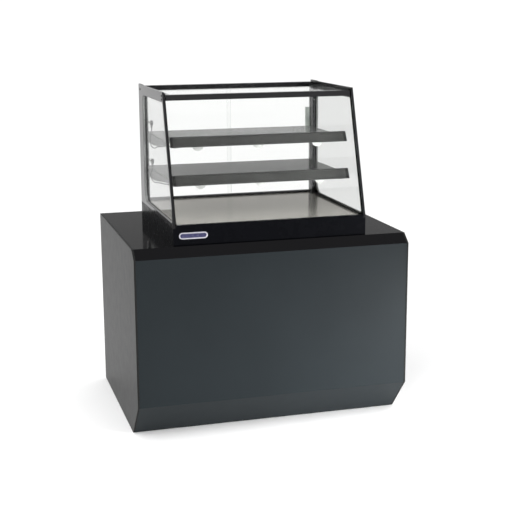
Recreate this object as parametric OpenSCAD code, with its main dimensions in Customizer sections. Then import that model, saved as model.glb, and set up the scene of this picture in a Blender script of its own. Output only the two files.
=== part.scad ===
/* [Counter] */
// Width of the counter
counter_w = 1300; // [1200:10:1500]
// Depth of the counter, knee to back edge
counter_d = 990; // [960:10:1100]
// Height of the worktop above the floor
counter_h = 895; // [860:5:920]
// How far the bevelled front edge of the worktop runs back
bevel_d = 52; // [30:1:60]
// Thickness of the worktop and height of its bevel
worktop_t = 41; // [30:1:50]
// How far the foot of the front is set back
kick_setback = 154; // [120:2:170]
// Height of the knee where the front turns in
kick_h = 172; // [150:2:200]
// Thickness of the front, kick, floor and door panels
panel_t = 18; // [16:1:20]
// Gap under the panels
floor_gap = 3; // [2:1:10]

/* [Glass case] */
// Width of the case over its end frames
case_w = 914; // [914:2:920]
// Depth of the case
case_d = 776; // [740:2:800]
// Height of the end frames above the worktop
case_h = 669; // [640:1:720]
// Distance from the knee plane back to the case
case_setback = 64; // [58:1:90]
// Height of the black front of the base
base_h = 92; // [88:1:100]
// How far the front glass leans back in its whole height
lean_d = 188; // [160:1:200]

/* [Shelves] */
// Top of the lower shelf above the worktop
lower_shelf_z = 268; // [262:1:280]
// Top of the upper shelf above the worktop
upper_shelf_z = 439; // [430:1:445]
// Width of a shelf
shelf_w = 850; // [840:2:850]

/* [Hidden] */
$fn = 48;

// Counter, measured from its knee plane (y) and the floor (z)
skin_t = 9;
door_recess = 35;
door_y = counter_d - door_recess - panel_t;
floor_z = 100;
inner_w = counter_w - 4 * skin_t;
kick_slope = sqrt(pow(kick_setback, 2) + pow(kick_h, 2)) / kick_h;
door_gap = 5;
set_in = panel_t + 0.5;
door_bottom = floor_z + 4;
door_top = counter_h - worktop_t - 4;
inner_shelf_z = 470;
pin_r = 2.5;
pin_fit = 0.05;
knuckle_r = 6;
knuckle_h = 18;
hinge_h = 60;
hinge_z = [200, 700];
hinge_x = inner_w / 2 - 8;
hinge_y = door_y + panel_t + knuckle_r;
leg_r = 18;
leg_foot_r = 24;
grommet_r = 27;
grommet_x = 250;
grommet_y = counter_d - 70;

// Case, measured from its own front (y) and the worktop (z)
sheet_t = 3;
frame_t = 10;
glass_t = 6;
side_base_h = 80;
lean = atan(lean_d / (case_h - base_h));
frame_x = case_w / 2 - frame_t;
inner_x = frame_x - glass_t;
ear_h = 3;
rear_band = 100;
top_band = 45;
window_low = base_h + 6;
front_band = 14;
header_z = [case_h - 38, case_h - 13];
side_rail_z = [case_h - 29, case_h - 13];
top_glass_z = side_rail_z[0] + 4;
header_back = lean_d + 27;
rail_w = 25;
rail_groove = 6;
track_y = case_d - 42;
track_d = 36;
sill_z = [76, 97];
top_track_z = [case_h - 34, case_h - 6];
groove_w = 6;
groove_y = [track_y + 7, track_y + 22];
groove_low = 8;
groove_high = 16;
jamb_w = 4;
door_t = 5;
door_lap = 8;
slide_door_z = [sill_z[1] - groove_low + 1, top_track_z[0] + groove_high - 6];
slide_pull_z = 425;
slide_pull_h = 107;
deck_z = 89;
deck_flange_z = 76;
gasket_lip = 5;
standard_w = 14;
standard_y = [case_d - 96, case_d - 64];
slot_pitch = 25;
shelf_back = case_d - 60;
shelf_t = 3;
plate_x = shelf_w / 2;
rail_top = 24;
rail_low = -21;
rail_lean = 28.5;
rail_t = 12;
cap_t = 14;
lower_rail_y = 129.5;
upper_rail_y = 171;
tube_r = 8;
tube_drop = 17;
tube_back = 42;
tube_w = 800;
holder_t = 16;
clip_r = 11;
clip_w = 12;
clip_tab_r = 27;
clip_tab_t = 3;
clip_x = [-290, 0, 290];
web_x = plate_x + 2;
web_t = 3;
raceway_at = [-435.5, case_d - 53];
socket_r = 12;
socket_t = 11;
socket_y = 550;
socket_rise = [58, 43];
plug_drop = 24;
switch_x = -320;
inlet_x = -385;
switch_z = 38;
rocker_rest = -8;

// Light cords, [x, y, z] from the case front and the top of the shelf
cord_r = 2.5;
cord_sides = 8;
upper_cord_route = [[-435.5, 550, 34], [-435.5, 552, 24], [-435.5, 562, 12], [-435.5, 576, 2],
    [-435.5, 588, -8], [-435.5, 596, -20], [-435.5, 596, -33], [-435.5, 588, -44], [-435.5, 572, -52],
    [-435.5, 548, -57], [-435.5, 515, -58], [-435.5, 482, -56], [-435.5, 450, -51], [-435.5, 418, -43],
    [-435.5, 385, -37], [-435.5, 345, -33], [-435.5, 305, -29], [-435.5, 270, -24], [-435.5, 242, -19],
    [-435.5, 229, -17], [-433, 219, -17], [-427, 214, -17], [-418, 213, -17], [-406, 213, -17]];
lower_cord_route = [[-435.5, 550, 19], [-435.5, 552, 9], [-435.5, 560, -2], [-435.5, 573, -11],
    [-435.5, 584, -20], [-435.5, 589, -31], [-435.5, 585, -42], [-435.5, 572, -49], [-435.5, 548, -53],
    [-435.5, 520, -54], [-435.5, 488, -52], [-435.5, 455, -48], [-435.5, 420, -44], [-435.5, 380, -38],
    [-435.5, 335, -34], [-435.5, 290, -29], [-435.5, 240, -24], [-435.5, 205, -19], [-435.5, 187.5, -17],
    [-433, 177.5, -17], [-427, 172.5, -17], [-418, 171.5, -17], [-406, 171.5, -17]];

// ---- placing helpers

// y from the knee plane, z from the floor
module on_counter() {
    translate([0, -counter_d / 2, 0]) children();
}

// y from the case front, z from the worktop
module in_case() {
    translate([0, case_setback - counter_d / 2, counter_h]) children();
}

// Extrudes an outline drawn as (y, z) from x0 to x1
module along_x(x0, x1) {
    translate([x0, 0, 0]) rotate([90, 0, 90]) linear_extrude(x1 - x0) children();
}

// Box given by its lowest and highest corners
module block(low, high) {
    translate(low) cube(high - low);
}

// A copy on each side of the middle plane
module both_sides() {
    children();
    mirror([1, 0, 0]) children();
}

// Cylinder along x
module rod_x(x0, x1, r) {
    translate([x0, 0, 0]) rotate([0, 90, 0]) cylinder(h = x1 - x0, r = r);
}

function arc(c, r, a0, a1, n = 6) =
    [for (i = [0:n]) let (a = a0 + (a1 - a0) * i / n) [c[0] + r * cos(a), c[1] + r * sin(a)]];

// ---- swept cord

// Evenly placed points on a smooth curve through the route
function spline(p, i, t) =
    let (a = p[max(i - 1, 0)], b = p[i], c = p[i + 1], d = p[min(i + 2, len(p) - 1)])
    0.5 * (2 * b + (c - a) * t + (2 * a - 5 * b + 4 * c - d) * t * t + (3 * b - a - 3 * c + d) * pow(t, 3));
function smooth(p, n) =
    concat([for (i = [0:len(p) - 2], k = [0:n - 1]) spline(p, i, k / n)], [p[len(p) - 1]]);
function unit(v) = v / norm(v);
function heading(p, i) = unit(p[min(i + 1, len(p) - 1)] - p[max(i - 1, 0)]);
function ring(p, i) =
    let (d = heading(p, i),
        side = unit(cross(d, abs(d[0]) > 0.8 ? [0, 0, 1] : [1, 0, 0])),
        up = cross(side, d))
    [for (k = [0:cord_sides - 1]) let (a = 360 * k / cord_sides)
        p[i] + cord_r * (cos(a) * side + sin(a) * up)];

module cord(route) {
    p = smooth(route, 2);
    n = len(p);
    m = cord_sides;
    points = [for (i = [0:n - 1]) each ring(p, i)];
    sides = [for (i = [0:n - 2], k = [0:m - 1])
        [i * m + k, i * m + (k + 1) % m, (i + 1) * m + (k + 1) % m, (i + 1) * m + k]];
    ends = [[for (k = [m - 1:-1:0]) k], [for (k = [0:m - 1]) (n - 1) * m + k]];
    polyhedron(points, concat(sides, ends), convexity = 8);
}

// ---- counter

// y of the kick's outer face at height z, moved inwards by t
function kick_y(z, t = 0) = kick_setback * (1 - z / kick_h) + t * kick_slope;
function knee_z(t) = kick_h * (1 + t * (kick_slope - 1) / kick_setback);

module side_outline() {
    polygon([[kick_y(floor_gap), floor_gap], [0, kick_h], [0, counter_h - worktop_t], [bevel_d, counter_h],
        [counter_d, counter_h], [counter_d, floor_gap]]);
}

module side_inner_outline() {
    polygon([[kick_y(floor_gap, panel_t), floor_gap], [panel_t, knee_z(panel_t)],
        [panel_t, counter_h - worktop_t], [counter_d, counter_h - worktop_t], [counter_d, floor_gap]]);
}

module side_panel() {
    on_counter() {
        along_x(counter_w / 2 - skin_t, counter_w / 2) side_outline();
        along_x(inner_w / 2, counter_w / 2 - skin_t) side_inner_outline();
    }
}

module left_side_panel() {
    color("#5d6468") mirror([1, 0, 0]) side_panel();
}

module right_side_panel() {
    color("#5d6468") side_panel();
}

module between_skins() {
    half = counter_w / 2 - skin_t;
    on_counter() along_x(-half, half) children();
}

module front_panel() {
    color("#3f474b") between_skins() polygon([[0, kick_h], [0, counter_h - worktop_t],
        [panel_t, counter_h - worktop_t], [panel_t, knee_z(panel_t)]]);
}

module kick_panel() {
    color("#3f474b") between_skins() polygon([[kick_y(floor_gap), floor_gap], [0, kick_h],
        [panel_t, knee_z(panel_t)], [kick_y(floor_gap, panel_t), floor_gap]]);
}

module worktop() {
    color("#1b1c1f") difference() {
        between_skins() polygon([[0, counter_h - worktop_t], [bevel_d, counter_h],
            [counter_d, counter_h], [counter_d, counter_h - worktop_t]]);
        on_counter() translate([grommet_x, grommet_y, counter_h - worktop_t - 1])
            cylinder(h = worktop_t + 2, r = grommet_r + 3);
        case_fixings(4, 22);
    }
}

module cable_grommet() {
    color("#202124") on_counter() translate([grommet_x, grommet_y, counter_h - worktop_t]) difference() {
        union() {
            cylinder(h = worktop_t, r = grommet_r + 3);
            translate([0, 0, worktop_t]) cylinder(h = 2, r = grommet_r + 9);
        }
        translate([0, 0, -1]) cylinder(h = worktop_t + 4, r = grommet_r);
    }
}

module floor_panel() {
    top = floor_z + panel_t;
    color("#8d9194") on_counter() along_x(-inner_w / 2, inner_w / 2)
        polygon([[kick_y(floor_z, set_in), floor_z], [kick_y(top, set_in), top], [door_y - 1, top],
            [door_y - 1, floor_z]]);
}

module divider_panel() {
    low = floor_z + panel_t;
    high = counter_h - worktop_t;
    color("#8d9194") on_counter() along_x(-panel_t / 2, panel_t / 2)
        polygon([[kick_y(low, set_in), low], [set_in, knee_z(set_in)], [set_in, high],
            [door_y - 1, high], [door_y - 1, low]]);
}

module inner_shelves() {
    color("#9a9ea1") both_sides() on_counter()
        block([panel_t / 2 + 1, panel_t + 22, inner_shelf_z],
            [inner_w / 2 - 1, door_y - 22, inner_shelf_z + panel_t]);
}

module shelf_pins() {
    pin_l = 16;
    color("#c3c6c9") both_sides() on_counter() for (y = [panel_t + 80, door_y - 80]) {
        translate([0, y, inner_shelf_z - pin_r]) {
            rod_x(panel_t / 2, panel_t / 2 + pin_l, pin_r);
            rod_x(inner_w / 2 - pin_l, inner_w / 2, pin_r);
        }
    }
}

module rear_kick_panel() {
    color("#3f474b") on_counter()
        block([-inner_w / 2, door_y - 4 - panel_t, floor_gap], [inner_w / 2, door_y - 4, floor_z]);
}

module plinth_legs() {
    color("#25272a") both_sides() on_counter() for (y = [kick_setback + 90, door_y - 90])
        translate([inner_w / 2 - 60, y, 0]) {
            cylinder(h = 10, r = leg_foot_r);
            cylinder(h = floor_z - 8, r = leg_r);
            translate([0, 0, floor_z - 8]) cylinder(h = 8, r = leg_foot_r + 6);
        }
}

// ---- cabinet doors and their hinges

module at_hinges() {
    on_counter() for (z = hinge_z) translate([hinge_x, hinge_y, z]) children();
}

module hinge_frame_leaves() {
    leaf_in = inner_w / 2 - hinge_x;
    color("#b9bcc0") both_sides() at_hinges() difference() {
        union() {
            for (z = [0, hinge_h - knuckle_h]) translate([0, 0, z]) cylinder(h = knuckle_h, r = knuckle_r);
            block([leaf_in - 2.5, -34, 0], [leaf_in, 0, hinge_h]);
        }
        translate([0, 0, -1]) cylinder(h = hinge_h + 2, r = pin_r);
        translate([0, 0, knuckle_h - 0.3]) cylinder(h = hinge_h - 2 * knuckle_h + 0.6, r = knuckle_r + 0.5);
    }
}

module hinge_pins() {
    color("#d0d2d5") both_sides() at_hinges() {
        cylinder(h = hinge_h, r = pin_r);
        for (z = [-2, hinge_h]) translate([0, 0, z]) cylinder(h = 2, r = pin_r + 1.5);
    }
}

module door_leaves() {
    low = knuckle_h + 0.3;
    high = hinge_h - knuckle_h - 0.3;
    color("#b9bcc0") at_hinges() difference() {
        union() {
            translate([0, 0, low]) cylinder(h = high - low, r = knuckle_r);
            block([-38, -knuckle_r, low], [0, 2.5 - knuckle_r, high]);
        }
        translate([0, 0, low - 1]) cylinder(h = high - low + 2, r = pin_r + pin_fit);
    }
}

module cabinet_door() {
    color("#4a5256") on_counter()
        block([1.5, door_y, door_bottom], [inner_w / 2 - door_gap, door_y + panel_t, door_top]);
}

module cabinet_pull() {
    bar_z = [560, 720];
    face = door_y + panel_t;
    color("#c9ccd0") on_counter() {
        block([40, face + 16, bar_z[0]], [52, face + 24, bar_z[1]]);
        for (z = [bar_z[0] + 8, bar_z[1] - 20]) block([40, face, z], [52, face + 16, z + 12]);
    }
}

module left_cabinet_door() {
    mirror([1, 0, 0]) cabinet_door();
}

module left_door_leaves() {
    mirror([1, 0, 0]) door_leaves();
}

module left_cabinet_pull() {
    mirror([1, 0, 0]) cabinet_pull();
}

module right_cabinet_door() {
    cabinet_door();
}

module right_door_leaves() {
    door_leaves();
}

module right_cabinet_pull() {
    cabinet_pull();
}

// ---- case base

// Screws that hold the case down, as cylinders of radius r reaching depth below the worktop
module case_fixings(r, depth) {
    in_case() both_sides() for (y = [90, case_d - 100]) translate([case_w / 2 - 60, y, -depth])
        cylinder(h = depth + sheet_t, r = r);
}

module base_pan() {
    x = case_w / 2 - sheet_t;
    color("#2a2b2e") difference() {
        in_case() block([-x, sheet_t, 0], [x, case_d - sheet_t, sheet_t]);
        case_fixings(4, 2);
    }
}

module base_front_panel() {
    color("#17181c") in_case() {
        block([-case_w / 2, 0, 0], [case_w / 2, sheet_t, side_base_h]);
        block([-frame_x, 0, side_base_h], [frame_x, sheet_t, base_h]);
        block([-inner_x, 0, base_h - sheet_t], [inner_x, 24, base_h]);
    }
}

module base_side_panels() {
    color("#17181c") in_case() both_sides()
        block([case_w / 2 - sheet_t, sheet_t, 0], [case_w / 2, case_d, side_base_h]);
}

module base_rear_panel() {
    x = case_w / 2 - sheet_t;
    color("#17181c") in_case() difference() {
        block([-x, case_d - sheet_t, 0], [x, case_d, deck_flange_z - 2]);
        block([switch_x - 13, case_d - 9, switch_z - 10], [switch_x + 13, case_d + 1, switch_z + 10]);
        block([inlet_x - 14, case_d - 9, switch_z - 10], [inlet_x + 14, case_d + 1, switch_z + 10]);
    }
}

module badge_plate() {
    badge_w = 132;
    badge_h = 30;
    color("#c9ccd2") in_case() translate([-case_w / 2 + 91, 0, 44]) rotate([90, 0, 0])
        linear_extrude(1.5) polygon(concat(arc([badge_w / 2 - 15, 0], badge_h / 2, -90, 90, 8),
            arc([15 - badge_w / 2, 0], badge_h / 2, 90, 270, 8)));
}

// Raised middle of the deck, let in by t at its sides and narrower between the standards
module deck_top(low, high, t) {
    wide_x = inner_x - gasket_lip - 0.6 - t;
    narrow_x = inner_x - standard_w - 0.5 - t;
    block([-wide_x, sheet_t + t, low], [wide_x, standard_y[0] - 0.5 - t, high]);
    block([-narrow_x, sheet_t + t, low], [narrow_x, track_y - 0.5 - t, high]);
}

// Sheet deck, raised in the middle, with a low flange all round
module deck() {
    t = 2;
    flange_low = deck_flange_z - t;
    color("#a8a39a") in_case() difference() {
        union() {
            block([-inner_x - 10, sheet_t, flange_low], [inner_x + 10, case_d - 4, deck_flange_z]);
            deck_top(flange_low, deck_z, 0);
        }
        deck_top(flange_low - 1, deck_z - t, t);
        translate([raceway_at[0], raceway_at[1], flange_low - 1]) cylinder(h = t + 2, r = 4);
    }
}

// ---- case ends

// y of a line parallel to the front slope, moved in by t
function slope_y(z, t = 0) = (z - base_h) * tan(lean) + t / cos(lean);

module end_outline() {
    polygon([[0, side_base_h], [0, base_h], [slope_y(case_h), case_h], [case_d - 130, case_h],
        [case_d - 60, case_h + ear_h], [case_d, case_h + ear_h], [case_d, side_base_h]]);
}

module window_outline() {
    low = window_low;
    high = case_h - top_band;
    back = case_d - rear_band;
    polygon(concat(arc([back - 60, low + 60], 60, -90, 0), arc([back - 40, high - 40], 40, 0, 90),
        arc([slope_y(high - 12, front_band + 12), high - 12], 12, 90, 180 - lean, 3),
        arc([slope_y(low + 18, front_band + 18), low + 18], 18, 180 - lean, 270)));
}

module end_frame() {
    color("#1d1e21") in_case() along_x(frame_x, case_w / 2) difference() {
        end_outline();
        window_outline();
    }
}

module end_glass() {
    low = side_base_h + 4;
    high = case_h - 6;
    color("#dfeaec", 0.4) in_case() along_x(inner_x, frame_x)
        polygon([[slope_y(base_h, glass_t + 5), low], [slope_y(base_h, glass_t + 5), base_h],
            [slope_y(high, glass_t + 5), high], [case_d - 7, high], [case_d - 7, low]]);
}

module left_end_frame() {
    mirror([1, 0, 0]) end_frame();
}

module right_end_frame() {
    end_frame();
}

module left_end_glass() {
    mirror([1, 0, 0]) end_glass();
}

module right_end_glass() {
    end_glass();
}

module end_gaskets() {
    color("#141416") in_case() both_sides() {
        block([inner_x, 26, deck_flange_z], [frame_x, track_y, side_base_h + 4]);
        block([inner_x - gasket_lip, 26, deck_flange_z], [inner_x, standard_y[0], window_low]);
    }
}

// ---- case front and top

module front_glass() {
    color("#dfeaec", 0.4) in_case() along_x(0.5 - frame_x, frame_x - 0.5)
        polygon([[slope_y(base_h, 3), base_h], [slope_y(header_z[0], 3), header_z[0]],
            [slope_y(header_z[0], 3 + glass_t), header_z[0]], [slope_y(base_h, 3 + glass_t), base_h]]);
}

module front_header() {
    color("#202125") in_case() along_x(-inner_x, inner_x)
        polygon([[slope_y(header_z[0], 2), header_z[0]], [slope_y(header_z[1], 2), header_z[1]],
            [header_back, header_z[1]], [header_back, header_z[0]]]);
}

// Rails with a groove that takes the edge of the top glass
module top_side_rails() {
    x = inner_x - rail_w;
    play = 0.2;
    color("#202125") in_case() both_sides() difference() {
        block([x, header_back, side_rail_z[0]], [inner_x, track_y, side_rail_z[1]]);
        block([x - 1, header_back - 1, top_glass_z - play],
            [x + rail_groove, track_y + 1, top_glass_z + glass_t + play]);
    }
}

module rear_top_rail() {
    z = top_track_z;
    color("#202125") in_case() difference() {
        block([-inner_x, track_y, z[0]], [inner_x, track_y + track_d, z[1]]);
        for (y = groove_y)
            block([-inner_x - 1, y, z[0] - 1], [inner_x + 1, y + groove_w, z[0] + groove_high]);
    }
}

// Held in the grooves of the side rails
module top_glass() {
    x = inner_x - rail_w + rail_groove - 0.5;
    z = top_glass_z;
    color("#dfeaec", 0.4) in_case()
        block([-x, header_back + 0.5, z], [x, track_y - 0.5, z + glass_t]);
}

// ---- sliding doors at the back

module rear_sill() {
    color("#1a1b1e") in_case() difference() {
        block([-inner_x, track_y, sill_z[0]], [inner_x, track_y + track_d, sill_z[1]]);
        for (y = groove_y)
            block([-inner_x - 1, y, sill_z[1] - groove_low],
                [inner_x + 1, y + groove_w, sill_z[1] + 1]);
    }
}

module door_jambs() {
    color("#202125") in_case() both_sides()
        block([inner_x - jamb_w, track_y, sill_z[1]], [inner_x, track_y + track_d, top_track_z[0]]);
}

module sliding_door(y) {
    color("#e3eeee", 0.4) in_case() block([-door_lap, y + 0.5, slide_door_z[0]],
        [inner_x - jamb_w - 1, y + 0.5 + door_t, slide_door_z[1]]);
}

module sliding_pull(y, t) {
    right = inner_x - jamb_w - 1;
    color("#b5b8bb") in_case() translate([0, y + 0.5 + door_t, slide_pull_z]) difference() {
        block([right - 22, 0, 0], [right, t, slide_pull_h]);
        block([right - 17, 2, 8], [right - 5, t + 1, slide_pull_h - 8]);
    }
}

module left_sliding_door() {
    mirror([1, 0, 0]) sliding_door(groove_y[0]);
}

module right_sliding_door() {
    sliding_door(groove_y[1]);
}

module left_sliding_pull() {
    mirror([1, 0, 0]) sliding_pull(groove_y[0], 7.5);
}

module right_sliding_pull() {
    sliding_pull(groove_y[1], 9);
}

// ---- shelves and lights

module shelf_standards() {
    low = deck_flange_z;
    high = side_rail_z[0];
    color("#5a5b5d") in_case() both_sides() difference() {
        block([inner_x - standard_w, standard_y[0], low], [inner_x, standard_y[1], high]);
        block([inner_x - standard_w + 2, standard_y[0] + 2, low - 1],
            [inner_x + 1, standard_y[1] - 2, high + 1]);
        for (z = [low + 30:slot_pitch:high - 25])
            block([inner_x - standard_w + 4, standard_y[0] - 1, z], [inner_x - 5, standard_y[0] + 3, z + 14]);
    }
}

module shelf(top, rail_y) {
    front = rail_y - rail_low * tan(rail_lean) + rail_t / cos(rail_lean) + 0.3;
    color("#8f9193") in_case() {
        block([-plate_x, front, top - shelf_t], [plate_x, shelf_back, top]);
        block([-plate_x, shelf_back - 2, top - 20], [plate_x, shelf_back, top - shelf_t]);
    }
}

module upper_shelf() {
    shelf(upper_shelf_z, upper_rail_y);
}

module lower_shelf() {
    shelf(lower_shelf_z, lower_rail_y);
}

module bracket(top, rail_y) {
    web = [[rail_y + 60, -14], [306, -25], [430, -40], [540, -50], [standard_y[0], -50],
        [standard_y[0], -4], [rail_y + 60, -4]];
    in_case() translate([0, 0, top]) {
        along_x(web_x, web_x + web_t) polygon(web);
        block([plate_x - 20, rail_y + 60, -shelf_t - 2], [web_x + web_t, standard_y[0], -shelf_t]);
    }
}

module shelf_brackets() {
    color("#77797b") both_sides() {
        bracket(upper_shelf_z, upper_rail_y);
        bracket(lower_shelf_z, lower_rail_y);
    }
}

// Leaning section of a rail, as (y, z) from its lower front edge
module rail_section() {
    rise = rail_top - rail_low;
    polygon([[0, 0], [rise * tan(rail_lean), rise],
        [rise * tan(rail_lean) + rail_t / cos(rail_lean), rise], [rail_t / cos(rail_lean), 0]]);
}

module at_rails() {
    in_case() {
        translate([0, upper_rail_y, upper_shelf_z + rail_low]) children();
        translate([0, lower_rail_y, lower_shelf_z + rail_low]) children();
    }
}

module price_rails() {
    color("#5b5c5e") at_rails() along_x(cap_t - plate_x, plate_x - cap_t) rail_section();
}

module rail_end_caps() {
    color("#0f0f10") at_rails() both_sides() along_x(plate_x - cap_t, plate_x) rail_section();
}

module at_tubes() {
    at_rails() translate([0, tube_back, -tube_drop - rail_low]) children();
}

module light_tubes() {
    color("#f2f1ea") at_tubes() {
        rod_x(holder_t - tube_w / 2, tube_w / 2 - holder_t, tube_r);
        both_sides() block([tube_w / 2 - holder_t, -10, -10], [tube_w / 2 + 6, 10, tube_drop - shelf_t]);
    }
}

// Spring clip round the tube, with a round tab hanging in front of it
module light_clip(x) {
    color("#c5c8ca") difference() {
        union() {
            rod_x(x - clip_w / 2, x + clip_w / 2, clip_r);
            block([x - clip_w / 2, -7, 0], [x + clip_w / 2, 7, tube_drop - shelf_t]);
            intersection() {
                translate([x, clip_tab_t / 2, 0]) rotate([90, 0, 0]) cylinder(h = clip_tab_t, r = clip_tab_r);
                block([x - clip_tab_r, -clip_tab_t, -clip_tab_r], [x + clip_tab_r, clip_tab_t, 0]);
            }
        }
        rod_x(x - 2 * clip_tab_r, x + 2 * clip_tab_r, tube_r);
    }
}

module light_clips() {
    at_tubes() for (x = clip_x) light_clip(x);
}

// Socket on the left glass, with the plug of the light cord below it and its flat feed
module light_sockets() {
    color("#2a2b2d") in_case()
        for (z = [upper_shelf_z + socket_rise[0], lower_shelf_z + socket_rise[1]]) translate([0, 0, z]) {
            translate([0, socket_y, 0]) rod_x(-inner_x, -inner_x + socket_t, socket_r);
            translate([-inner_x + socket_t / 2, socket_y, -plug_drop]) cylinder(h = plug_drop - 5, r = 4.5);
            block([-inner_x, socket_y + 6, -2], [-inner_x + 2, standard_y[0], 2]);
        }
}

module upper_light_cord() {
    color("#3a3a3c") in_case() translate([0, 0, upper_shelf_z]) cord(upper_cord_route);
}

module lower_light_cord() {
    color("#3a3a3c") in_case() translate([0, 0, lower_shelf_z]) cord(lower_cord_route);
}

// ---- supply, inside the base

module led_driver() {
    color("#d9dadb") in_case() {
        block([-210, 600, sheet_t], [-50, 656, 38]);
        for (x = [-222, -50]) block([x, 618, sheet_t], [x + 12, 638, sheet_t + 3]);
    }
}

module power_inlet() {
    back = case_d;
    color("#111113") in_case() difference() {
        union() {
            block([inlet_x - 25, back, switch_z - 14], [inlet_x + 25, back + 3, switch_z + 14]);
            block([inlet_x - 14, back - 28, switch_z - 10], [inlet_x + 14, back, switch_z + 10]);
        }
        block([inlet_x - 11.5, back - 16, switch_z - 7.5], [inlet_x + 11.5, back + 4, switch_z + 7.5]);
    }
}

module switch_housing() {
    color("#141416") in_case() translate([switch_x, case_d, switch_z]) difference() {
        union() {
            block([-15, 0, -12], [15, 2, 12]);
            block([-13, -22, -10], [13, 0, 10]);
        }
        block([-11, -19, -8.6], [11, 3, 8.6]);
        translate([0, -6, 0]) rod_x(-12.5, 12.5, 1.5 + pin_fit);
    }
}

module switch_rocker() {
    color("#b5261e") in_case() translate([switch_x, case_d - 6, switch_z]) rotate([rocker_rest, 0, 0]) {
        rod_x(-12.3, 12.3, 1.5);
        along_x(-10.6, 10.6) polygon([[-7, -3], [2, -7], [8.5, -7], [7, 0], [8.5, 7], [2, 7], [-7, 3]]);
    }
}

// Round wire through a list of points
module wire(points, r) {
    for (i = [0:len(points) - 2]) {
        a = points[i];
        b = points[i + 1];
        step = b - a;
        reach = norm(step);
        pitch = acos(step[2] / reach);
        turn = atan2(step[1], step[0]);
        translate(a) rotate([0, pitch, turn]) cylinder(h = reach, r = r, $fn = 24);
        if (i > 0) translate(a) sphere(r = r, $fn = 24);
    }
}

module base_wiring() {
    back = case_d;
    color("#7a2f2a") in_case() {
        wire([[inlet_x, back - 28, 30], [inlet_x, back - 60, 30], [switch_x - 8, back - 60, 30],
            [switch_x - 8, back - 22, 30]], 2.5);
        wire([[switch_x + 6, back - 22, 30], [switch_x + 6, 628, 30], [-210, 628, 30]], 2.5);
        wire([[-50, 628, 20], [-20, 628, 20], [-20, 580, 20], [raceway_at[0], 580, 20],
            [raceway_at[0], raceway_at[1], 20], [raceway_at[0], raceway_at[1], deck_flange_z]], 2.5);
    }
}

module wire_raceway() {
    color("#1d1e21") in_case()
        block([-inner_x, standard_y[1], deck_flange_z], [-inner_x + 11, track_y, side_rail_z[0]]);
}

module case_screws() {
    head_t = 2;
    color("#0c0c0d") {
        in_case() both_sides() for (p = [[case_d - 40, case_h - 22], [lean_d + 14, case_h - 17],
            [lean_d + 10, case_h - 33]])
            translate([0, p[0], p[1]]) rod_x(case_w / 2, case_w / 2 + head_t, 5);
        case_fixings(4, 20);
        in_case() both_sides() for (y = [90, case_d - 100]) translate([case_w / 2 - 60, y, sheet_t])
            cylinder(h = 4, r = 7);
    }
}

left_side_panel();
right_side_panel();
front_panel();
kick_panel();
worktop();
floor_panel();
divider_panel();
inner_shelves();
shelf_pins();
rear_kick_panel();
plinth_legs();
hinge_frame_leaves();
hinge_pins();
cable_grommet();
left_cabinet_door();
left_door_leaves();
left_cabinet_pull();
right_cabinet_door();
right_door_leaves();
right_cabinet_pull();
base_pan();
base_front_panel();
base_side_panels();
base_rear_panel();
badge_plate();
deck();
left_end_frame();
right_end_frame();
left_end_glass();
right_end_glass();
end_gaskets();
front_glass();
front_header();
top_side_rails();
rear_top_rail();
top_glass();
rear_sill();
door_jambs();
left_sliding_door();
right_sliding_door();
left_sliding_pull();
right_sliding_pull();
shelf_standards();
upper_shelf();
lower_shelf();
shelf_brackets();
price_rails();
rail_end_caps();
light_tubes();
light_clips();
light_sockets();
upper_light_cord();
lower_light_cord();
led_driver();
power_inlet();
switch_housing();
switch_rocker();
base_wiring();
wire_raceway();
case_screws();
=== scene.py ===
import math

import bmesh
import bpy
from mathutils import Matrix, Vector


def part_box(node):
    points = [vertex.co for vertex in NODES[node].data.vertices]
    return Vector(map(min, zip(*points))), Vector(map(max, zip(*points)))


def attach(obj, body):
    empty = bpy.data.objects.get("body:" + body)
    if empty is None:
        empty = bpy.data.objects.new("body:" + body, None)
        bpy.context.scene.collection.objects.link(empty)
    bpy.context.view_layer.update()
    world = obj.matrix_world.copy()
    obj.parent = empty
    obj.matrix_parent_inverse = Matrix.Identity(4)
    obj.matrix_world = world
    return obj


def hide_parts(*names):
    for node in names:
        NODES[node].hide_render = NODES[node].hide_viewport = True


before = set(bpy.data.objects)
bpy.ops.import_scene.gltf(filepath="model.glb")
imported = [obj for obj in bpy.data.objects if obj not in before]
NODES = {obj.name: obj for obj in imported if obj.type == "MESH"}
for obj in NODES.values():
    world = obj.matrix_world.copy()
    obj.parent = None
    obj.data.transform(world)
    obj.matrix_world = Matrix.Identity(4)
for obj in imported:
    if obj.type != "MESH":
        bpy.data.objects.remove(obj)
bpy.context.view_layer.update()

MM = 0.001


# ---------------------------------------------------------------- places

# The case's own zero: middle, front of the base, top of the worktop
case_zero = Vector((0.0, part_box("base_front_panel")[0].y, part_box("base_front_panel")[0].z))
shelf_tops = {"upper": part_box("upper_shelf")[1].z, "lower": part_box("lower_shelf")[1].z}


# ---------------------------------------------------------------- camera

LENS = 78.8
CAMERA_AT = Vector((-1.453, -5.232, 1.934))
CAMERA_LOOK = Vector((0.2693, 0.9384, -0.2166)).normalized()
CAMERA_UP = Vector((0.0648, 0.2067, 0.9763))


def make_camera():
    data = bpy.data.cameras.new("camera")
    data.lens = LENS
    data.sensor_width = 36.0
    data.clip_start, data.clip_end = 0.05, 100.0
    camera = bpy.data.objects.new("camera", data)
    right = CAMERA_LOOK.cross(CAMERA_UP).normalized()
    up = right.cross(CAMERA_LOOK)
    turn = Matrix((right, up, -CAMERA_LOOK)).transposed()
    camera.matrix_world = Matrix.Translation(CAMERA_AT) @ turn.to_4x4()
    bpy.context.scene.collection.objects.link(camera)
    bpy.context.scene.camera = camera


make_camera()


# ---------------------------------------------------------------- materials

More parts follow.
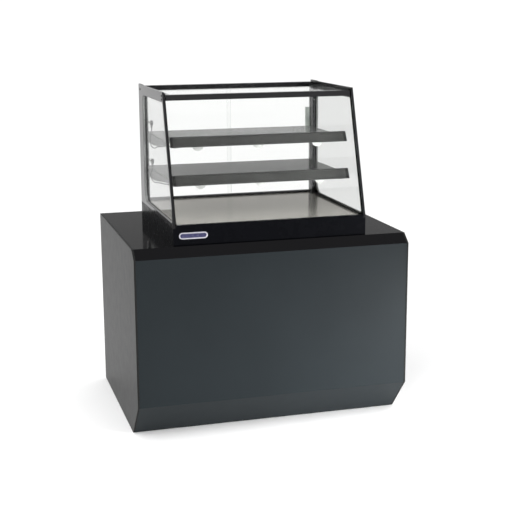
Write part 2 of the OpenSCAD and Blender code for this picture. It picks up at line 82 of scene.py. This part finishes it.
class Finish:
    """A Principled material. Its patterns are measured in metres in the piece's own space."""

    def __init__(self, name, color, rough, **sockets):
        self.material = bpy.data.materials.new(name)
        self.material.use_nodes = True
        self.tree = self.material.node_tree
        self.tree.nodes.clear()
        self.out = self.add("ShaderNodeOutputMaterial")
        self.shader = self.add("ShaderNodeBsdfPrincipled")
        self.link(self.shader.outputs[0], self.out.inputs[0])
        self.place = self.add("ShaderNodeTexCoord").outputs["Object"]
        self.set("Base Color", (*color, 1.0))
        self.set("Roughness", rough)
        for socket, value in sockets.items():
            self.set(socket.replace("_", " "), value)

    def add(self, kind):
        return self.tree.nodes.new(kind)

    def link(self, a, b):
        self.tree.links.new(a, b)

    def set(self, socket, value):
        self.shader.inputs[socket].default_value = value

    def feed(self, socket, value):
        """Links or sets one input of a node."""
        if hasattr(value, "is_output"):
            self.link(value, socket)
        else:
            socket.default_value = value

    def math(self, kind, *values):
        n = self.add("ShaderNodeMath")
        n.operation = kind
        for socket, value in zip(n.inputs, values):
            self.feed(socket, value)
        return n.outputs[0]

    def axes(self, source=None):
        n = self.add("ShaderNodeSeparateXYZ")
        self.link(source or self.place, n.inputs[0])
        return n.outputs

    def noise(self, size, detail=2.0, stretch=(1, 1, 1), rough=0.5):
        """Noise whose blobs are about size metres, longer along an axis whose stretch is over 1."""
        m = self.add("ShaderNodeMapping")
        m.inputs["Scale"].default_value = [1.0 / (size * s) for s in stretch]
        self.link(self.place, m.inputs[0])
        n = self.add("ShaderNodeTexNoise")
        n.inputs["Scale"].default_value = 1.0
        n.inputs["Detail"].default_value = detail
        n.inputs["Roughness"].default_value = rough
        self.link(m.outputs[0], n.inputs["Vector"])
        return n.outputs["Fac"]

    def span(self, value, low, high, to_low=0.0, to_high=1.0):
        n = self.add("ShaderNodeMapRange")
        for socket, v in zip(n.inputs, (value, low, high, to_low, to_high)):
            self.feed(socket, v)
        return n.outputs[0]

    def blend(self, fac, a, b):
        """A colour between a and b."""
        n = self.add("ShaderNodeMix")
        n.data_type = "RGBA"
        self.feed(n.inputs[0], fac)
        for socket, c in ((n.inputs[6], a), (n.inputs[7], b)):
            self.feed(socket, c if hasattr(c, "is_output") else (*c, 1.0))
        return n.outputs[2]

    def color(self, value):
        self.link(value, self.shader.inputs["Base Color"])

    def rough(self, value):
        self.link(value, self.shader.inputs["Roughness"])

    def bump(self, value, depth, strength=1.0):
        """Adds relief of that depth in metres, on top of any relief that is there already."""
        n = self.add("ShaderNodeBump")
        n.inputs["Distance"].default_value = depth
        n.inputs["Strength"].default_value = strength
        self.link(value, n.inputs["Height"])
        normal = self.shader.inputs["Normal"]
        if normal.is_linked:
            self.link(normal.links[0].from_socket, n.inputs["Normal"])
        self.link(n.outputs[0], normal)


def shade(color, factor):
    return tuple(c * factor for c in color)


def laminate(name, color, rough, spec, grain=0.0012, relief=0.00004, spread=0.10):
    """Decorative board: fine orange peel, cloudy sheen and faint dust."""
    f = Finish(name, color, rough, Specular_IOR_Level=spec)
    clouds = f.noise(0.35, 3.0)
    dust = f.noise(0.006, 4.0, rough=0.7)
    tone = f.blend(f.span(clouds, 0.3, 0.7), shade(color, 1 - spread), shade(color, 1 + spread))
    f.color(f.blend(f.span(dust, 0.62, 0.8, 0.0, 0.12), tone, shade(color, 1.9)))
    f.rough(f.span(f.noise(0.05, 4.0), 0.3, 0.7, rough - 0.015, rough + 0.02))
    f.bump(f.noise(grain, 2.0), relief, 0.5)
    return f.material


def gloss(name, color, rough, spec, wave=0.0):
    """High-gloss sheet: nearly flat, with smears and a very slight waviness."""
    f = Finish(name, color, rough, Specular_IOR_Level=spec)
    smears = f.noise(0.12, 5.0, stretch=(1, 2.2, 1))
    f.color(f.blend(f.span(f.noise(0.5, 2.0), 0.3, 0.7), shade(color, 0.9), shade(color, 1.12)))
    f.rough(f.span(smears, 0.35, 0.75, rough, rough + 0.05))
    if wave:
        f.bump(f.noise(0.07, 1.0), wave, 0.4)
    return f.material


def powder(name, color, rough, spec=0.5):
    """Powder coat: orange peel of about 1 mm."""
    f = Finish(name, color, rough, Specular_IOR_Level=spec)
    f.color(f.blend(f.span(f.noise(0.2, 3.0), 0.3, 0.7), shade(color, 0.88), shade(color, 1.15)))
    f.rough(f.span(f.noise(0.05, 3.0), 0.3, 0.7, rough - 0.03, rough + 0.06))
    f.bump(f.noise(0.0014, 2.0), 0.00004, 0.4)
    return f.material


def brushed(name, color, rough, along="x", metal=1.0, contrast=0.10, depth=0.00001):
    """Metal brushed along one axis."""
    f = Finish(name, color, rough, Metallic=metal)
    stretch = {"x": (180, 1, 1), "y": (1, 180, 1), "z": (1, 1, 180)}[along]
    lines = f.noise(0.0009, 3.0, stretch=stretch, rough=0.7)
    broad = f.noise(0.16, 3.0)
    tone = f.blend(f.span(lines, 0.3, 0.7), shade(color, 1 - contrast), shade(color, 1 + contrast))
    f.color(f.blend(f.span(broad, 0.35, 0.7, 0.0, 0.35), tone, shade(color, 0.86)))
    f.rough(f.math("ADD", f.span(lines, 0.3, 0.7, rough - 0.05, rough + 0.06),
                   f.span(broad, 0.35, 0.7, 0.0, 0.05)))
    f.bump(lines, depth, 0.5)
    return f.material


def moulded(name, color, rough, spec=0.5, grain=0.0007):
    """Moulded plastic or rubber: spark grain and slight fading."""
    f = Finish(name, color, rough, Specular_IOR_Level=spec)
    f.color(f.blend(f.span(f.noise(0.03, 4.0), 0.35, 0.7), shade(color, 0.85), shade(color, 1.2)))
    f.rough(f.span(f.noise(0.012, 3.0), 0.3, 0.7, rough - 0.05, rough + 0.08))
    f.bump(f.noise(grain, 2.0), 0.00003, 0.5)
    return f.material


def clear_glass(name, across, tint=(0.96, 0.965, 0.96), edge=(0.50, 0.56, 0.54), ior=1.5):
    """Clear pane. across is the axis through it: the other faces are its green polished edges.

    Float glass has an ior of 1.5. A lower one stands for a pane with an anti-reflection coat.
    """
    f = Finish(name, tint, 0.0, Transmission_Weight=1.0, IOR=ior)
    normal = f.add("ShaderNodeTexCoord").outputs["Normal"]
    n = f.axes(normal)
    through = f.math("ABSOLUTE", n["XYZ".index(across)])
    on_edge = f.span(through, 0.55, 0.8, 1.0, 0.0)
    haze = f.span(f.noise(0.25, 4.0), 0.45, 0.75, 0.0, 0.5)
    face = f.blend(haze, tint, shade(tint, 0.985))
    f.color(f.blend(on_edge, face, edge))
    lamp = f.add("ShaderNodeBsdfTransparent")
    lamp.inputs[0].default_value = (0.93, 0.95, 0.94, 1.0)
    path = f.add("ShaderNodeLightPath")
    mix = f.add("ShaderNodeMixShader")
    f.link(path.outputs["Is Shadow Ray"], mix.inputs[0])
    f.link(f.shader.outputs[0], mix.inputs[1])
    f.link(lamp.outputs[0], mix.inputs[2])
    f.link(mix.outputs[0], f.out.inputs[0])
    return f.material


def opal(name):
    """Lamp diffuser, unlit."""
    f = Finish(name, (0.86, 0.86, 0.82), 0.35, Specular_IOR_Level=0.5)
    f.color(f.blend(f.span(f.noise(0.05, 3.0), 0.3, 0.7), (0.84, 0.84, 0.80), (0.89, 0.89, 0.86)))
    f.bump(f.noise(0.001, 2.0), 0.00002, 0.3)
    return f.material


MATERIALS = {
    "side": laminate("side_laminate", (0.0155, 0.016, 0.0158), 0.30, 0.025, spread=0.04),
    "front": laminate("front_laminate", (0.0125, 0.016, 0.018), 0.40, 0.08, spread=0.06),
    "worktop": gloss("worktop_gloss", (0.0025, 0.0024, 0.0030), 0.05, 0.06),
    "board": laminate("carcass_board", (0.30, 0.31, 0.32), 0.45, 0.4, spread=0.05),
    "door": laminate("cabinet_door_laminate", (0.030, 0.035, 0.039), 0.38, 0.2),
    "zinc": brushed("zinc_plate", (0.62, 0.63, 0.64), 0.32, "z"),
    "pull": brushed("pull_steel", (0.62, 0.62, 0.63), 0.26, "z"),
    "leg": moulded("leg_plastic", (0.018, 0.018, 0.02), 0.45),
    "base": powder("base_powder", (0.0022, 0.0024, 0.0034), 0.25, 0.03),
    "badge": brushed("badge_metal", (0.62, 0.61, 0.66), 0.38, "x"),
    "deck": brushed("deck_steel", (0.83, 0.79, 0.725), 0.12, "x", metal=0.82, contrast=0.04),
    "frame": gloss("black_frame", (0.010, 0.010, 0.011), 0.12, 0.2),
    "gasket": moulded("gasket_rubber", (0.006, 0.006, 0.006), 0.6, 0.1),
    "standard": brushed("standard_steel", (0.055, 0.055, 0.058), 0.30, "z", contrast=0.2),
    "bracket": powder("bracket_powder", (0.10, 0.10, 0.10), 0.35),
    "shelf": brushed("shelf_steel", (0.255, 0.255, 0.25), 0.14, "x", metal=0.75, contrast=0.05),
    "rail": brushed("rail_aluminium", (0.075, 0.075, 0.074), 0.42, "x"),
    "slide_pull": moulded("sliding_pull_plastic", (0.88, 0.88, 0.87), 0.35),
    "plastic": moulded("black_plastic", (0.008, 0.008, 0.008), 0.4, 0.2),
    "lamp": opal("lamp_diffuser"),
    "holder": moulded("lamp_holder", (0.50, 0.50, 0.49), 0.4),
    "clip": moulded("lamp_clip", (0.62, 0.62, 0.61), 0.3),
    "ticket": moulded("ticket_strip", (0.034, 0.034, 0.033), 0.45, 0.10),
    "badge_ink": moulded("badge_enamel", (0.022, 0.022, 0.075), 0.25),
    "bead": moulded("window_bead", (0.20, 0.20, 0.20), 0.45),
    "cord": moulded("cord_pvc", (0.035, 0.035, 0.038), 0.42),
    "wire": moulded("wire_sleeve", (0.05, 0.03, 0.028), 0.45),
    "driver": moulded("driver_case", (0.72, 0.72, 0.72), 0.4),
    "rocker": moulded("rocker_plastic", (0.40, 0.015, 0.010), 0.25, 0.5, 0.004),
    "screw": powder("screw_black", (0.008, 0.008, 0.009), 0.35, 0.2),
    "end_glass": clear_glass("end_glass", "X", (0.76, 0.765, 0.76), ior=1.1),
    "front_glass": clear_glass("front_glass", "Y", ior=1.10),
    "top_glass": clear_glass("top_glass", "Z", ior=1.02),
    "door_glass": clear_glass("door_glass", "Y", ior=1.2),
}

DRESSED = {
    "side": ["left_side_panel", "right_side_panel"],
    "front": ["front_panel", "kick_panel", "rear_kick_panel"],
    "worktop": ["worktop"],
    "board": ["floor_panel", "divider_panel", "inner_shelves"],
    "door": ["left_cabinet_door", "right_cabinet_door"],
    "zinc": ["shelf_pins", "hinge_frame_leaves", "hinge_pins", "left_door_leaves",
             "right_door_leaves"],
    "pull": ["left_cabinet_pull", "right_cabinet_pull"],
    "leg": ["plinth_legs", "cable_grommet"],
    "base": ["base_front_panel", "base_side_panels", "base_rear_panel", "base_pan"],
    "badge": ["badge_plate"],
    "deck": ["deck"],
    "frame": ["left_end_frame", "right_end_frame", "front_header", "top_side_rails", "rear_top_rail",
              "rear_sill", "door_jambs", "wire_raceway"],
    "gasket": ["end_gaskets"],
    "standard": ["shelf_standards"],
    "bracket": ["shelf_brackets"],
    "shelf": ["upper_shelf", "lower_shelf"],
    "rail": ["price_rails"],
    "slide_pull": ["left_sliding_pull", "right_sliding_pull"],
    "plastic": ["rail_end_caps", "light_sockets", "power_inlet", "switch_housing"],
    "lamp": ["light_tubes"],
    "clip": ["light_clips"],
    "wire": ["base_wiring"],
    "driver": ["led_driver"],
    "rocker": ["switch_rocker"],
    "screw": ["case_screws"],
    "end_glass": ["left_end_glass", "right_end_glass"],
    "front_glass": ["front_glass"],
    "top_glass": ["top_glass"],
    "door_glass": ["left_sliding_door", "right_sliding_door"],
}

# Edge rounding of CAD nodes that isn't the usual one, in millimetres
EDGE = {
    "left_side_panel": 1.0, "right_side_panel": 1.0,
    "worktop": 1.5, "front_panel": 0.6, "kick_panel": 0.6,
    "left_cabinet_door": 1.0, "right_cabinet_door": 1.0,
    "left_cabinet_pull": 1.5, "right_cabinet_pull": 1.5,
    "base_front_panel": 0.8, "badge_plate": 0.4,
    "upper_shelf": 0.8, "lower_shelf": 0.8, "price_rails": 0.8,
    "shelf_standards": 0.3, "light_sockets": 0.3,
}
USUAL_EDGE = 0.5
SHARP_CORNER = 35
WELD_REACH = 0.02 * MM
PANES = ("glass", "sliding_door")


def dress(node, material):
    """Gives a CAD node its finish and rounds its sharp edges. Panes keep flat faces."""
    obj = NODES[node]
    obj.data.materials.clear()
    obj.data.materials.append(material)
    weld = obj.modifiers.new("weld", "WELD")
    weld.merge_threshold = WELD_REACH
    bevel = obj.modifiers.new("edges", "BEVEL")
    bevel.width = EDGE.get(node, USUAL_EDGE) * MM
    bevel.segments = 2
    bevel.limit_method = "ANGLE"
    bevel.angle_limit = math.radians(SHARP_CORNER)
    bevel.use_clamp_overlap = True
    if node.endswith(PANES):
        bevel.harden_normals = True
    else:
        obj.modifiers.new("normals", "WEIGHTED_NORMAL").keep_sharp = False


for finish_name, nodes in DRESSED.items():
    for node in nodes:
        dress(node, MATERIALS[finish_name])


# ---------------------------------------------------------------- light cords

CORD_R = 2.5 * MM
CORD_ROUTES = {
    "upper": [
        (-435.5, 550, 34), (-435.5, 552, 24), (-435.5, 562, 12), (-435.5, 576, 2),
        (-435.5, 588, -8), (-435.5, 596, -20), (-435.5, 596, -33), (-435.5, 588, -44),
        (-435.5, 572, -52), (-435.5, 548, -57), (-435.5, 515, -58), (-435.5, 482, -56),
        (-435.5, 450, -51), (-435.5, 418, -43), (-435.5, 385, -37), (-435.5, 345, -33),
        (-435.5, 305, -29), (-435.5, 270, -24), (-435.5, 242, -19), (-435.5, 229, -17),
        (-433, 219, -17), (-427, 214, -17), (-418, 213, -17), (-406, 213, -17)],
    "lower": [
        (-435.5, 550, 19), (-435.5, 552, 9), (-435.5, 560, -2), (-435.5, 573, -11),
        (-435.5, 584, -20), (-435.5, 589, -31), (-435.5, 585, -42), (-435.5, 572, -49),
        (-435.5, 548, -53), (-435.5, 520, -54), (-435.5, 488, -52), (-435.5, 455, -48),
        (-435.5, 420, -44), (-435.5, 380, -38), (-435.5, 335, -34), (-435.5, 290, -29),
        (-435.5, 240, -24), (-435.5, 205, -19), (-435.5, 187.5, -17), (-433, 177.5, -17),
        (-427, 172.5, -17), (-418, 171.5, -17), (-406, 171.5, -17)],
}
CORD_STEPS = 5


def smooth_line(points, steps):
    """The route as an even Catmull-Rom curve."""
    line = []
    for i in range(len(points) - 1):
        a, b, c, d = (points[min(max(k, 0), len(points) - 1)] for k in (i - 1, i, i + 1, i + 2))
        for k in range(steps):
            t = k / steps
            line.append(0.5 * (2 * b + (c - a) * t + (2 * a - 5 * b + 4 * c - d) * t * t
                               + (3 * b - a - 3 * c + d) * t ** 3))
    return line + [points[-1]]


def make_cord(which):
    zero = Vector((0, case_zero.y, shelf_tops[which]))
    line = smooth_line([zero + Vector(p) * MM for p in CORD_ROUTES[which]], CORD_STEPS)
    curve = bpy.data.curves.new(which + "_cord", "CURVE")
    curve.dimensions = "3D"
    curve.bevel_depth = CORD_R
    curve.bevel_resolution = 3
    curve.use_fill_caps = True
    spline = curve.splines.new("POLY")
    spline.points.add(len(line) - 1)
    for point, place in zip(spline.points, line):
        point.co = (*place, 1.0)
    spline.use_smooth = True
    cord = bpy.data.objects.new(which + "_lamp_cord", curve)
    bpy.context.scene.collection.objects.link(cord)
    curve.materials.append(MATERIALS["cord"])
    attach(cord, "frame")
    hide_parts(which + "_light_cord")


for which in CORD_ROUTES:
    make_cord(which)


# ---------------------------------------------------------------- building pieces

def arc(center, r, a0, a1, n):
    """Points of a round stretch, in degrees."""
    angles = (math.radians(a0 + (a1 - a0) * i / n) for i in range(n + 1))
    return [(center[0] + r * math.cos(a), center[1] + r * math.sin(a)) for a in angles]


def offset(outline, d):
    """A closed counter-clockwise outline moved inwards by d."""
    out = []
    n = len(outline)
    for i in range(n):
        a, b, c = (Vector(outline[k % n]) for k in (i - 1, i, i + 1))
        n1 = Vector((a.y - b.y, b.x - a.x)).normalized()
        n2 = Vector((b.y - c.y, c.x - b.x)).normalized()
        n0 = (n1 + n2).normalized()
        out.append(tuple(b + n0 * d / max(n0.dot(n1), 0.4)))
    return out


class Piece:
    """A mesh being built in millimetres from a zero point, then handed to the frame."""

    def __init__(self, name, zero=(0, 0, 0)):
        self.name = name
        self.zero = Vector(zero)
        self.bm = bmesh.new()

    def vert(self, p):
        return self.bm.verts.new(self.zero + Vector(p) * MM)

    def block(self, low, high):
        x, y, z = ((a, b) for a, b in zip(low, high))
        v = [self.vert((x[i], y[j], z[k])) for i in (0, 1) for j in (0, 1) for k in (0, 1)]
        sides = ((0, 1, 3, 2), (4, 6, 7, 5), (0, 4, 5, 1), (2, 3, 7, 6), (0, 2, 6, 4), (1, 5, 7, 3))
        for f in sides:
            self.bm.faces.new([v[i] for i in f])

    def loft(self, loops, closed=False):
        """Skins rings of points. The ends are capped unless the rings close on themselves."""
        rings = [[self.vert(p) for p in loop] for loop in loops]
        pairs = list(zip(rings, rings[1:])) + ([(rings[-1], rings[0])] if closed else [])
        n = len(rings[0])
        for a, b in pairs:
            for i in range(n):
                j = (i + 1) % n
                self.bm.faces.new((a[i], a[j], b[j], b[i]))
        if not closed:
            self.bm.faces.new(rings[0][::-1])
            self.bm.faces.new(rings[-1])

    def along_x(self, outline, x0, x1):
        """An outline of (y, z) run from x0 to x1."""
        self.loft([[(x, y, z) for y, z in outline] for x in (x0, x1)])

    def ring_x(self, outer, inner, x0, x1):
        """The band between two outlines of (y, z), run from x0 to x1."""
        corners = ((x0, outer), (x1, outer), (x1, inner), (x0, inner))
        self.loft([[(x, y, z) for y, z in line] for x, line in corners], closed=True)

    def lathe(self, base, axis, profile, sides=24, turn=0.0):
        """A closed profile of (radius, height along the axis) turned about the axis from base."""
        axis = Vector(axis).normalized()
        side = axis.orthogonal().normalized()
        other = axis.cross(side)
        loops = []
        for r, h in profile:
            loops.append([Vector(base) + axis * h + (side * math.cos(a) + other * math.sin(a)) * r
                          for a in (math.tau * (k + turn) / sides for k in range(sides))])
        self.loft(loops)

    def done(self, material, body, slot, stands_for=(), edge=0.0, smooth=False):
        bmesh.ops.recalc_face_normals(self.bm, faces=self.bm.faces)
        mesh = bpy.data.meshes.new(self.name)
        self.bm.to_mesh(mesh)
        self.bm.free()
        mesh.materials.append(MATERIALS[material])
        obj = bpy.data.objects.new(self.name, mesh)
        bpy.context.scene.collection.objects.link(obj)
        if edge:
            bevel = obj.modifiers.new("edges", "BEVEL")
            bevel.width = edge * MM
            bevel.segments = 2
            bevel.limit_method = "ANGLE"
            bevel.angle_limit = math.radians(40)
        if smooth or edge:
            mesh.shade_smooth()
            mesh.set_sharp_from_angle(angle=math.radians(38))
            obj.modifiers.new("normals", "WEIGHTED_NORMAL").keep_sharp = not edge
        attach(obj, body)
        if stands_for:
            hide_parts(*stands_for)
        return obj


# ---------------------------------------------------------------- price rails

RAIL_LEAN = math.radians(28.5)
RAIL_H = 45.0
RAIL_FRONT = {"upper": 171.0, "lower": 129.5}
TICKET_END = 4.0


def rail_places():
    """Half the length of the price rails, and the height of each one's lower edge."""
    low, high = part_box("price_rails")
    uppermost = high.z - RAIL_H * MM
    return high.x / MM, [("upper", uppermost), ("lower", low.z)]


def leaning(points):
    """Points of (depth, height) on the rail's leaning face, as (y, z)."""
    return [(h * math.tan(RAIL_LEAN) + d / math.cos(RAIL_LEAN), h) for d, h in points]


# Sections as (depth, height) on the leaning face
TICKET_CHANNEL = [(0, 0), (0, 3.5), (1.4, 4.6), (1.4, 7.5), (2.2, 7.5), (2.2, 37.5), (1.4, 37.5),
                  (1.4, 40.4), (0, 41.5), (0, 45), (12, 45), (12, 41.8), (5.0, 41.8), (5.0, 3.2),
                  (12, 3.2), (12, 0)]
TICKET_STRIP = [(1.5, 7.9), (1.5, 37.1), (2.1, 37.1), (2.1, 7.9)]


def make_price_rails():
    half, rails = rail_places()
    rail = Piece("ticket_rails")
    ticket = Piece("ticket_strips")
    for which, z in rails:
        rail.zero = ticket.zero = Vector((0, case_zero.y + RAIL_FRONT[which] * MM, z))
        rail.along_x(leaning(TICKET_CHANNEL), -half, half)
        ticket.along_x(leaning(TICKET_STRIP), TICKET_END - half, half - TICKET_END)
    rail.done("rail", "frame", "rail_aluminium", ["price_rails"], edge=0.35)
    ticket.done("ticket", "frame", "rail_aluminium")


# ---------------------------------------------------------------- badge

# Rings as (inset, depth): the plate with its raised rim, then the field inside it
BADGE_RINGS = [(0.0, 0.0), (0.0, -1.1), (0.45, -1.5), (1.9, -1.5), (2.3, -1.0), (3.4, -1.0),
               (3.8, -1.3), (4.6, -1.3), (5.0, -0.9)]
FIELD_RINGS = [(5.4, -0.8), (5.4, -1.05), (5.7, -1.15)]


def pill(w, h, inset=0.0, n=14):
    """Outline of a pill, as (x, z)."""
    r = h / 2 - inset
    c = w / 2 - h / 2
    return arc((c, 0), r, -90, 90, n) + arc((-c, 0), r, 90, 270, n)


def make_badge():
    low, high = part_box("badge_plate")
    w, h = (high.x - low.x) / MM, (high.z - low.z) / MM
    middle = Vector(((low.x + high.x) / 2, high.y, (low.z + high.z) / 2))
    for name, rings, material, stands_for in (
            ("badge", BADGE_RINGS, "badge", ["badge_plate"]),
            ("badge_field", FIELD_RINGS, "badge_ink", ())):
        piece = Piece(name, middle)
        piece.loft([[(x, y, z) for x, z in pill(w, h, inset)] for inset, y in rings])
        piece.done(material, "frame", "badge_metal", stands_for, smooth=True)


# ---------------------------------------------------------------- window beads

WINDOW_CORNERS = {"rear_low": 60.0, "rear_top": 40.0, "front_top": 12.0, "front_low": 18.0}
FRAME_LEAN = 18.04
WINDOW = {"low": 98.0, "high": 624.0, "back": 676.0, "front_band": 14.0, "slope_from": 92.0}

# Where each part of a bead starts and ends along x, and how far it is let into the window
BEAD = {"x": (447.4, 456.2), "insets": (0.15, 1.6)}
BEAD_LIP = {"x": (447.3, 449.0), "insets": (1.2, 3.0)}


def slope_y(z, inset):
    lean = math.radians(FRAME_LEAN)
    return (z - WINDOW["slope_from"]) * math.tan(lean) + inset / math.cos(lean)


def window_line():
    low, high, back = WINDOW["low"], WINDOW["high"], WINDOW["back"]
    c = WINDOW_CORNERS
    band = WINDOW["front_band"]
    a, b = c["rear_low"], c["rear_top"]
    d, e = c["front_top"], c["front_low"]
    return (arc((back - a, low + a), a, -90, 0, 14) + arc((back - b, high - b), b, 0, 90, 12)
            + arc((slope_y(high - d, band + d), high - d), d, 90, 180 - FRAME_LEAN, 5)
            + arc((slope_y(low + e, band + e), low + e), e, 180 - FRAME_LEAN, 270, 8))


def make_window_beads():
    for side, sign in (("left", -1), ("right", 1)):
        bead = Piece(side + "_window_bead", case_zero)
        for part in (BEAD, BEAD_LIP):
            outer, inner = (offset(window_line(), inset) for inset in part["insets"])
            bead.ring_x(outer, inner, *(sign * x for x in part["x"]))
        bead.done("bead", "frame", "gasket_rubber", edge=0.25)


# ---------------------------------------------------------------- screws

# Profiles as (radius, height)
BUTTON_HEAD = [(0.01, 0.0), (4.6, 0.0), (5.0, 0.35), (4.75, 1.1), (4.0, 1.65), (2.7, 2.0), (1.75, 2.0),
               (1.7, 1.9), (1.65, 1.8), (1.6, 0.7), (0.01, 0.5)]
HEX_HEAD = [(0.01, 0), (7, 0), (7, 2.2), (6.2, 4), (3, 4), (2.8, 1.6), (0.01, 1.6)]
SHANK = [(0.01, 0), (3.2, 0), (3.9, 1), (3.9, 22.9), (0.01, 22.9)]
FRAME_FACE = 457
FRAME_SCREWS = ((736, 647), (202, 652), (198, 636))
HOLD_DOWN_X = 397
HOLD_DOWN_Y = (90, 676)
PAN_TOP = 3
SHANK_LOW = -20


def make_case_screws():
    """Domed button heads with a socket on the end frames, and the hold-down screws of the base."""
    heads = Piece("case_screw_set", case_zero)
    for sign in (-1, 1):
        for y, z in FRAME_SCREWS:
            heads.lathe((sign * FRAME_FACE, y, z), (sign, 0, 0), BUTTON_HEAD, sides=30)
        for y in HOLD_DOWN_Y:
            heads.lathe((sign * HOLD_DOWN_X, y, PAN_TOP), (0, 0, 1), HEX_HEAD, sides=6)
            heads.lathe((sign * HOLD_DOWN_X, y, SHANK_LOW), (0, 0, 1), SHANK, sides=20)
    heads.done("screw", "frame", "screw_black", ["case_screws"], smooth=True)


# ---------------------------------------------------------------- lamps

# The axis of each tube, as (y, z)
TUBE_AXIS = {"upper": (213, 422), "lower": (171.5, 251)}
TUBE_HALF = 384
TUBE_PROFILE = [(0.01, 0), (7.9, 0), (7.9, 2 * TUBE_HALF), (0.01, 2 * TUBE_HALF)]
BACK_R = 8.0
BACK_HALF = 383
RIDGE = (4.5, 9.5)
COLLAR_FROM = 368
COLLAR = [(8.05, 0), (8.6, 0.5), (8.6, 11), (8.9, 12), (8.9, 16), (8.0, 16)]
HOLDER_END = 406
HOLDER_W = 10
HOLDER_TOP = 14


def make_lamps():
    """Each lamp is a diffuser tube on an aluminium back, with collars and a holder at both ends."""
    tube, back, ends = (Piece(name, case_zero) for name in ("lamp_diffusers", "lamp_backs", "lamp_holders"))
    for y, z in TUBE_AXIS.values():
        tube.lathe((-TUBE_HALF, y, z), (1, 0, 0), TUBE_PROFILE, sides=28)
        ridge = [(y - RIDGE[0], z + RIDGE[1]), (y + RIDGE[0], z + RIDGE[1])]
        back.along_x(arc((y, z), BACK_R, 25, 155, 12) + ridge, -BACK_HALF, BACK_HALF)
        for sign in (-1, 1):
            ends.lathe((sign * COLLAR_FROM, y, z), (sign, 0, 0), COLLAR, sides=28)
            x = sorted((sign * TUBE_HALF, sign * HOLDER_END))
            ends.block((x[0], y - HOLDER_W, z - HOLDER_W), (x[1], y + HOLDER_W, z + HOLDER_TOP))
    tube.done("lamp", "frame", "lamp_plastic", ["light_tubes"], smooth=True)
    back.done("standard", "frame", "lamp_plastic", edge=0.3)
    ends.done("holder", "frame", "lamp_plastic", edge=0.8)


make_price_rails()
make_badge()
make_window_beads()
make_case_screws()
make_lamps()


# ---------------------------------------------------------------- studio

# The floor's rings, as (radius, height) in metres
FLOOR_RINGS = [(6.0, 0.0), (40.0, 0.0), (60.0, 0.2), (70.0, 1.0), (76.0, 3.2), (80.0, 6.0), (83.0, 9.5)]
FLOOR_SIDES = 96


def make_floor():
    """A wide pale sweep whose far rim turns up past the low views' horizon."""
    turns = [math.tau * k / FLOOR_SIDES for k in range(FLOOR_SIDES)]
    mesh = bpy.data.meshes.new("floor")
    bm = bmesh.new()
    loops = [[bm.verts.new((r * math.cos(a), r * math.sin(a), z)) for a in turns] for r, z in FLOOR_RINGS]
    bm.faces.new(loops[0])
    for inner, outer in zip(loops, loops[1:]):
        for k in range(FLOOR_SIDES):
            j = (k + 1) % FLOOR_SIDES
            bm.faces.new((inner[k], outer[k], outer[j], inner[j]))
    bm.to_mesh(mesh)
    bm.free()
    floor = bpy.data.objects.new("floor", mesh)
    bpy.context.scene.collection.objects.link(floor)
    f = Finish("studio_floor", (0.96, 0.96, 0.96), 0.9, Specular_IOR_Level=0.0)
    mesh.materials.append(f.material)


def make_world():
    """A studio that is bright overhead and dim near the horizon."""
    world = bpy.data.worlds.new("studio")
    world.use_nodes = True
    tree = world.node_tree
    back = tree.nodes["Background"]
    back.inputs[0].default_value = (1.0, 1.0, 1.0, 1.0)
    where = tree.nodes.new("ShaderNodeTexCoord")
    split = tree.nodes.new("ShaderNodeSeparateXYZ")
    ramp = tree.nodes.new("ShaderNodeMapRange")
    ramp.interpolation_type = "SMOOTHSTEP"
    values = (HORIZON_SINE, OVERHEAD_SINE, HORIZON_LIGHT, OVERHEAD_LIGHT)
    for socket, value in zip(ramp.inputs[1:5], values):
        socket.default_value = value
    tree.links.new(where.outputs["Generated"], split.inputs[0])
    tree.links.new(split.outputs[2], ramp.inputs[0])
    tree.links.new(ramp.outputs[0], back.inputs[1])
    bpy.context.scene.world = world
    bpy.context.scene.view_settings.view_transform = "Standard"


def make_light(name, at, aim, size, power, spread=180.0, mirrored=True):
    data = bpy.data.lights.new(name, "AREA")
    data.shape = "RECTANGLE"
    data.size, data.size_y = size
    data.energy = power
    data.spread = math.radians(spread)
    lamp = bpy.data.objects.new(name, data)
    lamp.location = at
    lamp.rotation_mode = "QUATERNION"
    lamp.rotation_quaternion = (Vector(aim) - Vector(at)).to_track_quat("-Z", "Y")
    lamp.visible_camera = False
    lamp.visible_glossy = mirrored
    bpy.context.scene.collection.objects.link(lamp)


HORIZON_SINE, OVERHEAD_SINE = 0.30, 0.60
HORIZON_LIGHT, OVERHEAD_LIGHT = 0.35, 1.3

make_floor()
make_world()
make_light("front_right_light", (2.0, -2.0, 0.30), (0.42, -0.5, 0.02), (1.0, 0.5), 17, 56)
make_light("rail_light", (1.5, -1.3, 1.25), (0.36, -0.25, 1.24), (0.4, 0.3), 1.8, 30)
make_light("front_left_light", (-2.6, -3.4, 3.4), (-0.8, -0.6, 0.0), (3.0, 3.0), 130, mirrored=False)

cycles = bpy.context.scene.cycles
cycles.max_bounces = 24
cycles.transparent_max_bounces = 24
cycles.transmission_bounces = 20
cycles.glossy_bounces = 8
